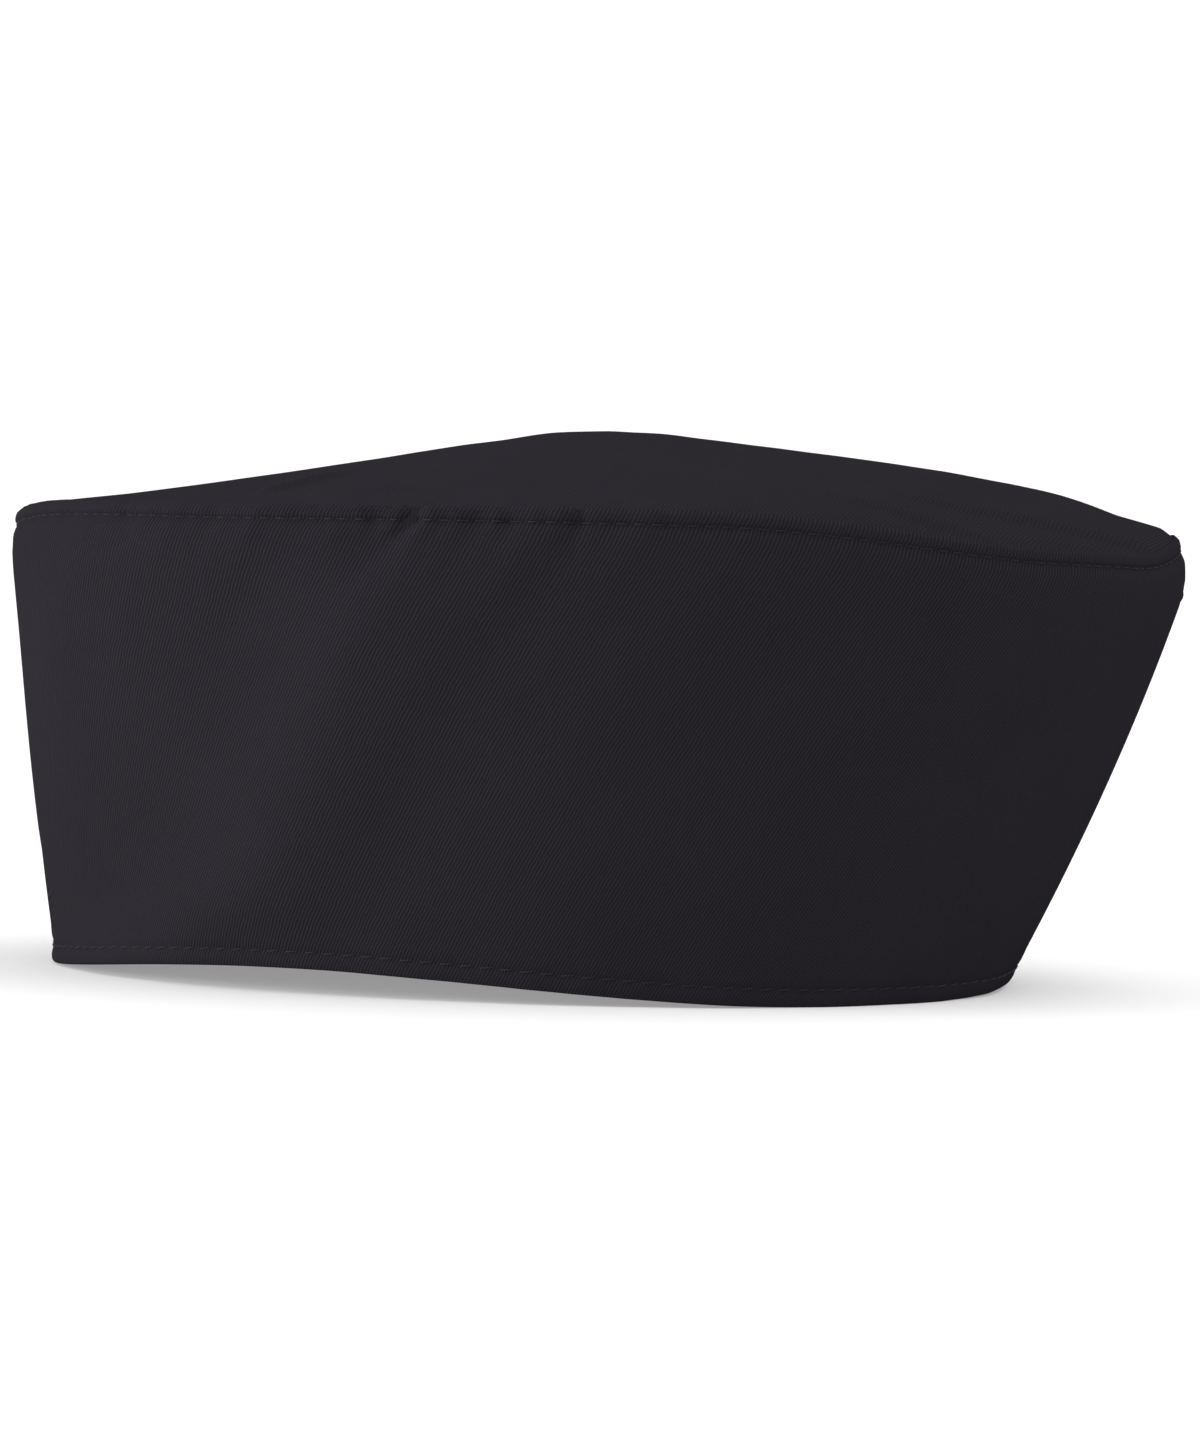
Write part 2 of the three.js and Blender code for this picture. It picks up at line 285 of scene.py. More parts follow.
# ---- Materials ----
class Nodes:
    """A material's nodes, with a short call for each kind that the cap needs."""

    def __init__(self, name):
        self.material = bpy.data.materials.new(name)
        self.material.use_nodes = True
        self.tree = self.material.node_tree
        self.shader = self.tree.nodes["Principled BSDF"]

    def put(self, socket, value):
        if isinstance(value, bpy.types.NodeSocket):
            self.tree.links.new(value, socket)
        else:
            socket.default_value = value

    def node(self, kind, *values, **settings):
        made = self.tree.nodes.new(kind)
        for key, value in settings.items():
            setattr(made, key, value)
        for socket, value in zip(made.inputs, values):
            self.put(socket, value)
        return made

    def math(self, operation, *values):
        return self.node("ShaderNodeMath", *values, operation=operation).outputs[0]

    def cloth_place(self):
        split = self.node("ShaderNodeSeparateXYZ", self.place())
        return split.outputs[0], split.outputs[1]

    def place(self):
        return self.node("ShaderNodeAttribute", attribute_name="cloth").outputs["Vector"]

    def noise(self, place, scale, detail=2.0):
        made = self.node("ShaderNodeTexNoise")
        self.put(made.inputs["Vector"], place)
        made.inputs["Scale"].default_value = scale
        made.inputs["Detail"].default_value = detail
        return made.outputs["Fac"]

    def blend(self, share, a, b):
        made = self.node("ShaderNodeMix", data_type="RGBA")
        for name, value in (("Factor_Float", share), ("A_Color", a), ("B_Color", b)):
            self.put(next(s for s in made.inputs if s.identifier == name), value)
        return next(s for s in made.outputs if s.identifier == "Result_Color")

    def bump(self, height, distance):
        made = self.node("ShaderNodeBump")
        made.inputs["Strength"].default_value = 1.0
        made.inputs["Distance"].default_value = distance
        self.put(made.inputs["Height"], height)
        return made.outputs["Normal"]

    def finish(self, color, roughness, normal, sheen=0.0, specular=0.5):
        self.put(self.shader.inputs["Base Color"], color)
        self.put(self.shader.inputs["Roughness"], roughness)
        self.shader.inputs["Sheen Weight"].default_value = sheen
        self.shader.inputs["Sheen Roughness"].default_value = 0.5
        self.shader.inputs["Specular IOR Level"].default_value = specular
        self.put(self.shader.inputs["Normal"], normal)
        return self.material


def gray(value, blue=1.13, green=0.915):
    """A near-neutral dark colour with the cloth's slight violet cast."""
    return (value, value * green, value * blue, 1.0)


def twill(name, base=0.0177, contrast=1.0):
    """Warp yarns side by side, each float lying one weft higher than its neighbour's.

    The diagonal wales wander a little, and carry most of the contrast and all of the relief. Their colour
    contrast and the lighter crowns of the yarn floats are painted highlight and painted shade on that relief;
    the slubs and clouds are uneven tone of the cloth itself.
    """
    n = Nodes(name)
    u, v = n.cloth_place()
    across = n.math("DIVIDE", u, WARP_PITCH)
    yarn = n.math("FLOOR", across)
    within = n.math("FRACT", across)
    round_yarn = n.math("SINE", n.math("MULTIPLY", within, math.pi))
    climb = n.math("SUBTRACT", n.math("DIVIDE", v, 3 * WEFT_PITCH), n.math("DIVIDE", yarn, 3.0))
    float_lift = n.math("SINE", n.math("MULTIPLY", n.math("FRACT", climb), math.pi))
    height = n.math("MULTIPLY", n.math("POWER", float_lift, 0.7), round_yarn)
    slub = n.noise(n.place(), 900.0)
    cloud = n.noise(n.place(), 45.0, 3.0)
    wander = n.math("MULTIPLY", n.noise(n.place(), 260.0, 2.0), 0.9)
    straight = n.math("SUBTRACT", n.math("DIVIDE", v, 3 * WEFT_PITCH), n.math("DIVIDE", across, 3.0))
    wale = n.math("ADD", straight, wander)
    stripe = n.math("MULTIPLY_ADD", n.math("SINE", n.math("MULTIPLY", wale, TURN)), 0.5, 0.5)
    # Painted light: the float crowns and the wales are painted lighter and the hollows between them darker,
    # painted highlight and painted shade on the weave's relief.
    weave = n.math("MULTIPLY_ADD", height, 0.15 * contrast, n.math("MULTIPLY", stripe, 0.85 * contrast))
    tone = n.math("MULTIPLY_ADD", slub, 0.2, n.math("ADD", weave, 0.4 - 0.5 * contrast))
    light = n.math("MULTIPLY_ADD", cloud, 0.2, n.math("SUBTRACT", tone, 0.1))
    color = n.blend(light, gray(base * 0.62), gray(base * 1.42))
    normal = n.bump(stripe, WALE_RELIEF * contrast)
    roughness = n.math("MULTIPLY_ADD", slub, 0.2, 0.74)
    return n.finish(color, roughness, normal, specular=0.0)


def plain_weave(name, color, dark):
    n = Nodes(name)
    u, v = n.cloth_place()
    across = n.math("SINE", n.math("MULTIPLY", u, math.pi / PLAIN_PITCH))
    upward = n.math("SINE", n.math("MULTIPLY", v, math.pi / PLAIN_PITCH))
    height = n.math("MULTIPLY_ADD", n.math("MULTIPLY", across, upward), 0.5, 0.5)
    # Painted light: the yarn crossings are painted lighter and the hollows between them darker, painted
    # highlight and painted shade on the weave's relief, mixed with uneven tone from noise.
    tone_and_painted_shading = n.math("MULTIPLY_ADD", n.noise(n.place(), 300.0), 0.4, n.math("MULTIPLY", height, 0.6))
    return n.finish(n.blend(tone_and_painted_shading, dark, color), 0.85, n.bump(height, 0.06 * MM), sheen=0.1)


def sewing_thread(name, tone):
    """Two-ply thread: fine slanting lines round the strand, from its own flat coordinates."""
    n = Nodes(name)
    u, v = n.cloth_place()
    ply = n.math("SINE", n.math("MULTIPLY_ADD", u, TURN / (0.55 * MM), n.math("MULTIPLY", v, 1000.0)))
    height = n.math("MULTIPLY_ADD", ply, 0.5, 0.5)
    # Painted light: the ply's raised crowns are painted lighter and its grooves darker, painted highlight and
    # painted shade on its relief.
    color = n.blend(height, gray(tone * 0.6), gray(tone * 1.25))
    return n.finish(color, 0.7, n.bump(height, 0.04 * MM), specular=0.05)


def fuzzy(name, tone, scale, depth):
    """Brushed loops or stiff hooks: a dense field of small bumps."""
    n = Nodes(name)
    cells = n.node("ShaderNodeTexVoronoi")
    n.put(cells.inputs["Vector"], n.place())
    cells.inputs["Scale"].default_value = scale
    close = n.math("SUBTRACT", 1.0, cells.outputs["Distance"])
    fibre = n.math("MULTIPLY", close, n.noise(n.place(), scale * 1.7, 3.0))
    # Painted light: the raised hooks or loops are painted lighter and the gaps between them darker, painted
    # highlight and painted shade.
    color = n.blend(fibre, gray(tone * 0.35, 1.05, 0.95), gray(tone * 2.2, 1.05, 0.95))
    return n.finish(color, 0.8, n.bump(fibre, depth), sheen=0.02, specular=0.1)


def satin_label(name):
    n = Nodes(name)
    u, v = n.cloth_place()
    rib = n.math("SINE", n.math("MULTIPLY", v, TURN / (0.3 * MM)))
    grain = n.noise(n.place(), 700.0)
    height = n.math("MULTIPLY_ADD", rib, 0.3, grain)
    color = n.blend(grain, (0.66, 0.66, 0.64, 1), (0.82, 0.82, 0.8, 1))
    return n.finish(color, 0.45, n.bump(height, 0.03 * MM), sheen=0.2)


def nonwoven(name):
    n = Nodes(name)
    fibre = n.noise(n.place(), 1200.0, 4.0)
    color = n.blend(fibre, (0.5, 0.5, 0.48, 1), (0.75, 0.75, 0.73, 1))
    return n.finish(color, 0.95, n.bump(fibre, 0.08 * MM))


TWILL = twill("black_twill")
TWILL_CROWN = twill("black_twill_crown", contrast=0.5)
# Painted shade: the same twill made darker for the lining and the flap's facing, the cap's inside faces.
TWILL_INSIDE = twill("black_twill_inside", base=0.0152)
BINDING = plain_weave("seam_tape", gray(0.028), gray(0.01))
THREADS = sewing_thread("thread", 0.027)
HOOKS = fuzzy("hook_tape", 0.012, 900.0, 0.3 * MM)
LOOPS = fuzzy("loop_tape", 0.011, 520.0, 0.25 * MM)
SATIN = satin_label("label")
STIFF = nonwoven("interlining")


# ---- The band ----
def band_angles(lap, step=1.1, gap=SEAM_GAP):
    """Angles from the wearer's right end round the front to the left end, for each height."""
    start, stop = along(gap / 2), TURN - along(gap / 2)
    round_ = np.linspace(start, stop, int((stop - start) * 98 / step))
    inside = np.linspace(1, 0, 40, endpoint=False)

    def at(heights):
        extra = start - lap * np.outer(along(underlap(heights)), inside)
        return np.concatenate([extra, np.tile(round_, (len(heights), 1))], axis=1)

    return at if lap else lambda heights: np.tile(round_, (len(heights), 1))


def front_share(angle):
    """1 at the side of the cap nearest the front on the camera's side, and less elsewhere."""
    return bell(np.mod(angle, TURN) - 4.3, 0.5)


def puckers(angle, below_rim):
    """Small gathers that cross the crown's topstitch and die out down the band."""
    s = arc(angle)
    uneven = 0.35 + 0.35 * smooth(waves(s, 5, 3, 60, 140)) + 0.9 * front_share(angle)
    small = waves(s + 0.4 * below_rim, 11, 4, 5.5, 12)
    large = waves(s + 0.6 * below_rim, 12, 4, 14, 34)
    down = np.exp(-np.abs(below_rim - RIM_ROW) / 5.5)
    further = np.exp(-np.abs(below_rim - RIM_ROW) / 16)
    return uneven * (0.16 * small * down + 0.22 * large * further)


def hem_puckers(angle, height):
    s = arc(angle)
    small = waves(s - 0.5 * height, 21, 3, 6, 13)
    large = waves(s, 22, 3, 22, 60)
    return 0.07 * small * np.exp(-height / 4) + 0.22 * large * np.exp(-height / 18)


def buckles(angle, height):
    """The broad, soft unevenness of a stiffened band."""
    s = arc(angle)
    up = height / BAND
    body = np.sin(math.pi * np.clip(up, 0, 1)) ** 0.7
    wide = waves(s + 0.35 * height, 31, 3, 90, 210)
    medium = waves(s - 0.25 * height + 6 * np.sin(height / 21), 32, 4, 34, 80)
    return body * (0.5 * wide + 0.2 * medium)


def near_seam(angle, reach):
    """1 at the centre back seam, falling to 0 at a distance of reach along the band."""
    right = arc(np.mod(angle, TURN)) - arc(0.0)
    left = arc(TURN) - arc(0.0) - right
    return 1 - smooth(np.minimum(right, left) / reach)


def body_relief(angle, height):
    """The shape that all the band's layers share."""
    return buckles(angle, height) + long_fold(angle, height)


def stitch_dips(angle, distance, pitch, depth):
    """The furrow that a row of stitches pulls, deepest where the needle goes in."""
    phase = np.cos(TURN * arc(angle) / pitch)
    return -depth * bell(distance, 0.55) * (0.72 + 0.28 * phase)


# Nips where the crown's seam allowance bunches up under the topstitch: (x at the rim, depth).
RIM_NIPS = [
    (-94.0, 0.3),
    (-58.5, 0.32),
    (-54.5, 0.36),
    (-50.5, 0.3),
    (-44.0, 0.45),
    (-40.0, 0.62),
    (-35.2, 0.6),
    (-25.0, 0.35),
    (-18.0, 0.42),
    (-10.7, 0.35),
    (-4.4, 0.62),
    (6.0, 0.3),
    (12.6, 0.3),
    (20.0, 0.2),
    (28.0, 0.22),
]


def rim_nips(angle):
    """How deep the nips are at each angle: placed on the camera's side, irregular elsewhere."""
    x = near_x(angle, BAND + 0 * angle)
    near = sum(depth * bell(x - place, 0.95) for place, depth in RIM_NIPS)
    s = arc(angle)
    uneven = waves(s, 61, 5, 7, 19) * waves(s, 62, 3, 23, 61)
    far = 0.42 * smooth((uneven - 0.15) / 0.6)
    return np.where(x < 900, near, far)


# Single gathers on the side that faces -Y: (x at the rim, how far it moves in x per mm down,
# half width, how far down it reaches, height). The first few cross the crown's topstitch.
GATHERS = [
    (-36.0, -0.87, 2.0, 8.5, -0.95),
    (-32.5, -0.7, 2.2, 7.0, 0.55),
    (-42.5, -0.3, 1.4, 3.5, -0.5),
    (-39.5, -0.2, 1.3, 2.5, 0.35),
    (-30.0, -0.5, 1.7, 4.5, -0.4),
    (-48.4, 0.0, 1.3, 3.2, -0.3),
    (-52.5, -0.1, 1.3, 3.4, -0.3),
    (-56.5, 0.1, 1.4, 4.0, -0.3),
    (-22.0, -0.3, 1.5, 4.5, -0.25),
    (-4.4, -0.1, 1.5, 6.5, -0.5),
    (-94.0, 0.1, 1.3, 4.5, -0.3),
    (12.0, 0.2, 2.2, 6.0, -0.2),
    (38.0, 0.3, 2.6, 8.0, -0.2),
    (74.0, 0.2, 2.4, 7.0, -0.2),
]


def near_x(angle, height):
    """x of the plain wall on the side that faces -Y, and far from any gather elsewhere."""
    x = outline(angle, height / BAND)[0]
    return np.where(np.sin(angle) < 0, x, 900.0)


def gathers(angle, below):
    x = near_x(angle, BAND + 0 * below)
    total = 0.0
    for place, slope, width, reach, height in GATHERS:
        line = place + slope * np.maximum(0, below - RIM_ROW)
        total = total + height * bell(x - line, width) * bell(np.maximum(0, below - RIM_ROW - 0.5), reach)
    return total


def long_fold(angle, height):
    """A broad fold that runs from the middle of the near side's rim down to its front corner."""
    x = near_x(angle, height)
    line = np.interp(height, [0, 12, 28, 57, 76, BAND], [-76, -70, -59, -49, -42, -30])
    past = x - line
    body = 3.6 * bell(past - 3, 17) - 2.9 * bell(past + 27, 19)
    second = 0.5 * bell(x - np.interp(height, [0, BAND], [-34, 10]), 14)
    low = 0.6 * bell(x - 61, 6) * (1 - smooth((height - 40) / 25))
    return (body + second + low) * smooth((height + 2) / 16) * smooth((BAND - height) / 28)


def free_share(angle):
    """0 at the closure, where the layers lie close on each other, and 1 away from it."""
    right = arc(np.mod(angle, TURN)) - arc(0.0)
    left = arc(TURN) - arc(0.0) - right
    return smooth((right - 58) / 34) * smooth((left - 4) / 34)


def band_relief(angle, height):
    """How far the finished cloth stands out from the plain wall."""
    below = BAND - height
    ridge = RIM_RIDGE * smooth((RIM_ROW - below) / 0.9) * (1 - 0.6 * smooth((1.1 - below) / 1.1))
    ridge = ridge * (1 - RIM_RIDGE_AT_SEAM * near_seam(angle, RIM_RIDGE_FADE))
    swell = RIM_SWELL * bell(below - RIM_ROW - 2.2, 1.5)
    hem_swell = HEM_SWELL * bell(height - 1.6, 1.4) + 0.14 * bell(height - HEM_ROW - 1.9, 1.2)
    rows = stitch_dips(angle, below - RIM_ROW, RIM_PITCH, RIM_FURROW)
    rows = rows + stitch_dips(angle, height - HEM_ROW, HEM_PITCH, HEM_FURROW)
    rows = rows - 0.8 * rim_nips(angle) * (1 - smooth((below - RIM_ROW + 0.4) / 1.8))
    soft = puckers(angle, below) + hem_puckers(angle, height) + body_relief(angle, height)
    return ridge + swell + hem_swell + rows + soft * free_share(angle) + gathers(angle, below)


def band_heights():
    low = [0, 0.1, 0.35, 0.75, 1.2, 1.8, 2.4, 2.9, 3.2, 3.5, 3.8, 4.1, 4.6, 5.3, 6.2, 7.4]
    middle = list(np.arange(9, 84, 1.6))
    high = [85, 86.2, 87.2, 88, 88.7, 89.3, 89.8, 90.2, 90.5, 90.8, 91.1, 91.4, 91.8, 92.2]
    top = [92.6, 93, 93.3, 93.55, 93.7, BAND]
    return np.array(low + middle + high + top)


def make_band_outer():
    heights = band_heights()
    angles = band_angles(1.0)(heights)
    h = heights[:, None] + 0 * angles
    fold = HEM_FOLD * (1 - smooth((h - 2.6) / 1.2))
    thick = np.maximum(CLOTH, fold) * rounding(np.minimum(h, BAND - h), EDGE_RADIUS)
    centre = np.maximum(CLOTH, fold) / 2
    out = band_relief(angles, h)
    turned_in = TURN_IN * smooth((h - TURN_IN_FROM) / TURN_IN_OVER)
    sunk = tuck(angles, h) + centre + turned_in
    outer = sunk - thick / 2 - out
    inner = sunk + thick / 2 - np.minimum(out, 0) * 0.6
    inner = np.maximum(inner, outer + 0.08)
    shown = h - rim_nips(angles) * smooth((h - BAND + RIM_ROW) / RIM_ROW)
    piece = sheet_piece("band_outer_cloth", angles, shown, outer, inner, TWILL)
    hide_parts("band_outer")
    return piece


def layer(name, node, slot, low, high, depth, thickness, lap, material, flat, gap=SEAM_GAP):
    """An inner layer of the band. lap is the share of the underlap that it reaches into."""
    heights = edge_rows(low, high, 2.5, 0.6)
    angles = band_angles(lap, 2.2, gap)(heights)
    h = heights[:, None] + 0 * angles
    soft = free_share(angles) * body_relief(angles, h)
    half = thickness / 2 * rounding(np.minimum(h - low, high - h), 0.6)
    centre = tuck(angles, h) + depth + thickness / 2 - soft
    piece = sheet_piece(name, angles, h, centre - half, centre + half, material)
    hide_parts(node)
    return piece


def make_band_stiffener():
    """Its ends stop short of the seam, so nothing pale shows through there."""
    layer(
        "band_stiffener_cloth",
        node="band_stiffener",
        slot="interlining",
        low=8,
        high=84,
        depth=STEP,
        thickness=THIN_CLOTH,
        lap=0,
        material=STIFF,
        flat=(0.61, 0.08),
        gap=6,
    )


def make_band_lining():
    layer(
        "band_lining_cloth",
        node="band_lining",
        slot="black_twill",
        low=0.8,
        high=91.8,
        depth=2 * STEP,
        thickness=CLOTH,
        lap=0.95,
        material=TWILL_INSIDE,
        flat=BAND_FLAT,
    )


def make_seam_tape():
    layer(
        "seam_tape_cloth",
        node="crown_seam_tape",
        slot="seam_tape",
        low=84,
        high=92.4,
        depth=3 * STEP,
        thickness=THIN_CLOTH,
        lap=0,
        material=BINDING,
        flat=(0.64, 0.0105),
    )


# ---- The crown ----
# Its cloth is cut a little full, sewn at the rim, and settles on whatever fills the cap.
CROWN_CLOTH = {
    "quality": 6,
    "mass": 0.01,
    "air_damping": 2.0,
    "tension_stiffness": 20.0,
    "compression_stiffness": 20.0,
    "shear_stiffness": 6.0,
    "bending_stiffness": 1.0,
    "tension_damping": 8.0,
    "compression_damping": 8.0,
    "shear_damping": 8.0,
    "shrink_min": -0.004,
}
SETTLE_FRAMES = 30
FILLING_DROP = 0.9  # how far the filling lies lower away from the rim
FILLING_GAP = 1.1  # and everywhere
SETTLE_CAP = 2.6  # the furthest that a point may move
SETTLE_RISE = 1.2  # the furthest up, away from the rim
SMOOTH_ROUNDS = 3
CROWN_COLUMNS = 520
CROWN_ROWS = 96
CROWN_TURNED = [88.2, 89, 90.2, 91.5, 92.6, 93.2]  # heights of its turned-down edge

# Soft folds, as (x, y) from one end to the other, height and half width.
CROWN_FOLDS = [
    [(84, -62), (58, -68), (34, -56), 1.35, 1.5],
    [(114, -24), (90, -50), (40, -54), 1.5, 1.6],
    [(117, 14), (88, -14), (58, -22), 0.4, 4.0],
    [(-67, -60), (-58, -50), (-46, -36), 1.3, 1.7],
    [(-57, -65), (-46, -68), (-24, -70), 1.1, 1.5],
    [(96, 40), (66, 34), (36, 18), 0.7, 3.4],
    [(46, 72), (30, 48), (16, 24), 0.6, 4.0],
    [(-50, 70), (-36, 46), (-18, 20), 0.6, 4.0],
    [(-96, 44), (-64, 34), (-30, 14), 0.5, 4.5],
]


def fold_height(x, y, bend, height, width):
    """A fold along a bent line: a ridge with a shallow valley on its outer side."""
    a, b, c = (np.array(p, float) for p in bend)
    best = np.full_like(x, 1e9)
    side = np.zeros_like(x)
    share = np.zeros_like(x)
    for k in np.linspace(0, 1, 41):
        here = (1 - k) ** 2 * a + 2 * k * (1 - k) * b + k * k * c
        ahead = 2 * (1 - k) * (b - a) + 2 * k * (c - b)
        dx, dy = x - here[0], y - here[1]
        distance = np.hypot(dx, dy)
        closer = distance < best
        cross = (ahead[0] * dy - ahead[1] * dx) / np.linalg.norm(ahead)
        best = np.where(closer, distance, best)
        side = np.where(closer, cross, side)
        share = np.where(closer, k, share)
    fade = smooth(share / 0.12) * (1 - smooth((share - 0.45) / 0.55))
    ridge = np.exp(-((best / width) ** 2))
    valley = np.exp(-(((side - 1.7 * width) / width) ** 2)) * np.exp(-((best / (3 * width)) ** 2))
    return height * fade * (ridge - 0.35 * valley)


def crown_share(angle, out):
    cone = (np.hypot(out, CROWN_TIP) - CROWN_TIP) / (math.hypot(1, CROWN_TIP) - CROWN_TIP)
    towards_back = (1 + np.cos(angle)) / 2
    fuller = CROWN_SHOULDER * towards_back * np.sin(math.pi * out**1.7)
    dip = CROWN_FRONT_DIP * (1 - towards_back) ** 2 * np.sin(math.pi * out**1.3)
    return 1 - cone + fuller - dip


def dome(angle, out, below):
    """The crown before it settles, a depth below its top face."""
    edge = wall(angle, BAND, STEP + below)
    x = mix(CROWN_CENTRE_X, edge[..., 0], out)
    y = edge[..., 1] * out
    sag = (rim_z(angle) - BAND) * out**3
    return np.stack([x, y, BAND - CROWN_DROP + sag + CROWN_RISE * crown_share(angle, out) - below], -1)


def run_cloth(points, faces, sewn, filling):
    """Where the points of a cloth lie once it has settled on the filling, sewn at some points."""
    pieces = []
    for name, places in (("settling", points), ("filling", filling)):
        mesh = bpy.data.meshes.new(name)
        mesh.from_pydata((places * MM).tolist(), [], faces)
        pieces.append(bpy.data.objects.new(name, mesh))
        bpy.context.scene.collection.objects.link(pieces[-1])
    cloth, solid = pieces
    solid.modifiers.new("solid", "COLLISION")
    solid.collision.thickness_outer = 0.4 * MM
    solid.collision.cloth_friction = 10
    cloth.vertex_groups.new(name="sewn").add(sewn, 1.0, "REPLACE")
    settings = cloth.modifiers.new("cloth", "CLOTH")
    for key, value in CROWN_CLOTH.items():
        setattr(settings.settings, key, value)
    settings.settings.vertex_group_mass = "sewn"
    settings.collision_settings.distance_min = 0.6 * MM
    settings.point_cache.frame_end = SETTLE_FRAMES
    for number in range(1, SETTLE_FRAMES + 1):
        bpy.context.scene.frame_set(number)
    shape = cloth.evaluated_get(bpy.context.evaluated_depsgraph_get()).data
    settled = np.empty(len(points) * 3)
    shape.vertices.foreach_get("co", settled)
    for piece in pieces:
        bpy.data.meshes.remove(piece.data)
    bpy.context.scene.frame_set(1)
    return settled.reshape(-1, 3) / MM


def settle_crown(columns=80, rings=20):
    """How the crown's cloth, cut a little full, moves as it settles: a grid of rings by columns."""
    angle = np.linspace(0, TURN, columns, endpoint=False)
    outs = 1 - np.arange(rings) / rings
    tip = dome(np.zeros(1), np.zeros(1), 0.0)
    points = np.concatenate([dome(angle, np.full(columns, out), 0.0) for out in outs] + [tip])
    faces = []
    for ring in range(rings - 1):
        for i in range(columns):
            a, b = ring * columns + i, ring * columns + (i + 1) % columns
            faces.append((a, b, b + columns, a + columns))
    last = (rings - 1) * columns
    faces += [(last + i, last + (i + 1) % columns, len(points) - 1) for i in range(columns)]
    low = smooth((1 - np.append(np.repeat(outs, columns), 0)) / 0.12)
    filling = points - np.outer(low * FILLING_DROP + FILLING_GAP, (0, 0, 1))
    moved = run_cloth(points, faces, list(range(columns)), filling) - points
    moved *= np.minimum(1, SETTLE_CAP / np.maximum(np.linalg.norm(moved, axis=1), 0.01))[:, None]
    grid = moved[:-1].reshape(rings, columns, 3)
    rise = np.linspace(0, 1, rings)[:, None]
    grid[..., 2] = np.minimum(grid[..., 2], SETTLE_RISE * smooth(rise / 0.7))
    for _ in range(SMOOTH_ROUNDS):
        grid = (np.roll(grid, 1, 1) + 2 * grid + np.roll(grid, -1, 1)) / 4
    return np.concatenate([grid, np.broadcast_to(moved[-1], (1, columns, 3))])


def spline_weights(share):
    """Smooth weights of four neighbours, at a share of the way between the middle two."""
    t = share
    return np.stack([(1 - t) ** 3, 3 * t**3 - 6 * t**2 + 4, -3 * t**3 + 3 * t**2 + 3 * t + 1, t**3]) / 6


def resample(grid, places, wraps):
    """A grid's rows at places between them, along its first axis."""
    low = np.floor(places).astype(int)
    total = 0.0
    for k, weight in enumerate(spline_weights(places - low)):
        index = low - 1 + k
        index = index % len(grid) if wraps else np.clip(index, 0, len(grid) - 1)
        total = total + weight[:, None, None] * grid[index]
    return total


def crown_points(angle, out, below, settled):
    """The finished crown, a depth below its top face. settled is how the simulation moved it."""
    point = dome(angle, out, below)
    inside = smooth((1 - out) / 0.03)
    point = point + inside[..., None] * settled
    x, y = point[..., 0], point[..., 1]
    at_rim = np.exp(-(1 - out) / 0.05)
    lift = 0.24 * waves(arc(angle), 41, 4, 7, 17) * at_rim
    lift = lift + 1.1 * near_seam(angle, 24) * at_rim
    for *bend, height, width in CROWN_FOLDS:
        lift = lift + fold_height(x, y, bend, height, width)
    point[..., 2] += inside * lift
    return point


def make_crown():
    columns = CROWN_COLUMNS
    angle = np.linspace(0, TURN, columns, endpoint=False)
    outs = 1 - np.linspace(0, 1, CROWN_ROWS)[:-1] ** 1.15
    rows = len(CROWN_TURNED) + len(outs)
    settled = settle_crown()
    rings = len(settled) - 1
    settled = resample(settled, (1 - outs) * rings, False)
    settled = resample(settled.swapaxes(0, 1), angle / TURN * settled.shape[1], True).swapaxes(0, 1)
    tip_moved = settled[-1, :1]
    points, flats = [], []
    for face in (0, 1):
        below = face * CLOTH
        for height in CROWN_TURNED:
            points.append(wall(angle, height, STEP + below))
            flats.append(points[-1][:, :2])
        for out, moved in zip(outs, settled):
            points.append(crown_points(angle, np.full_like(angle, out), below, moved))
            flats.append(points[-1][:, :2])
    centre = np.zeros(1)
    tip = [crown_points(centre, centre, below, tip_moved) for below in (0.0, CLOTH)]
    points = np.concatenate(points + tip)
    flats = np.concatenate(flats + [t[:, :2] for t in tip])
    faces = grid_faces(columns, rows - 1, True)
    top_tip, low_tip = len(points) - 2, len(points) - 1
    side = columns * rows
    last = columns * (rows - 1)
    faces = [f for f in faces if not joins_sides_at_tip(f, last, side)]
    for i in range(columns):
        j = (i + 1) % columns
        faces.append((last + i, last + j, top_tip))
        faces.append((side + last + j, side + last + i, low_tip))
    piece = new_piece("crown_cloth", points, faces, flats, TWILL_CROWN)
    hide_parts("crown_panel")
    return piece


def joins_sides_at_tip(face, last, side):
    """True for a quad between the top and under sides of the crown's innermost row."""
    return min(face) < side <= max(face) and all(k % side >= last for k in face)


# ---- Stitches ----
def stitch_mesh(paths, radius):
    """Short strands, each a tube along its own path of points, with its ends tapered."""
    points, faces, flats = [], [], []
    sides = STITCH_SIDES
    ring = [(math.cos(TURN * k / sides), math.sin(TURN * k / sides)) for k in range(sides)]
    for path in paths:
        path = np.asarray(path)
        steps = len(path)
        ahead = np.gradient(path, axis=0)
        ahead /= np.linalg.norm(ahead, axis=1)[:, None]
        side = np.cross(ahead, [0.3, 0.2, 1.0])
        side /= np.linalg.norm(side, axis=1)[:, None]
        other = np.cross(side, ahead)
        length = np.concatenate([[0], np.cumsum(np.linalg.norm(np.diff(path, axis=0), axis=1))])
        first = len(points)
        for k in range(steps):
            size = radius * (0.55 if k in (0, steps - 1) else 1.0)
            for number, (c, s) in enumerate(ring):
                points.append(path[k] + size * (c * side[k] + s * other[k]))
                flats.append((length[k], number / sides))
        for k in range(steps - 1):
            for n in range(sides):
                a, b = first + k * sides + n, first + k * sides + (n + 1) % sides
                faces.append((a, b, b + sides, a + sides))
        faces.append(tuple(first + n for n in range(sides))[::-1])
        faces.append(tuple(first + (steps - 1) * sides + n for n in range(sides)))
    return np.array(points), faces, np.array(flats)


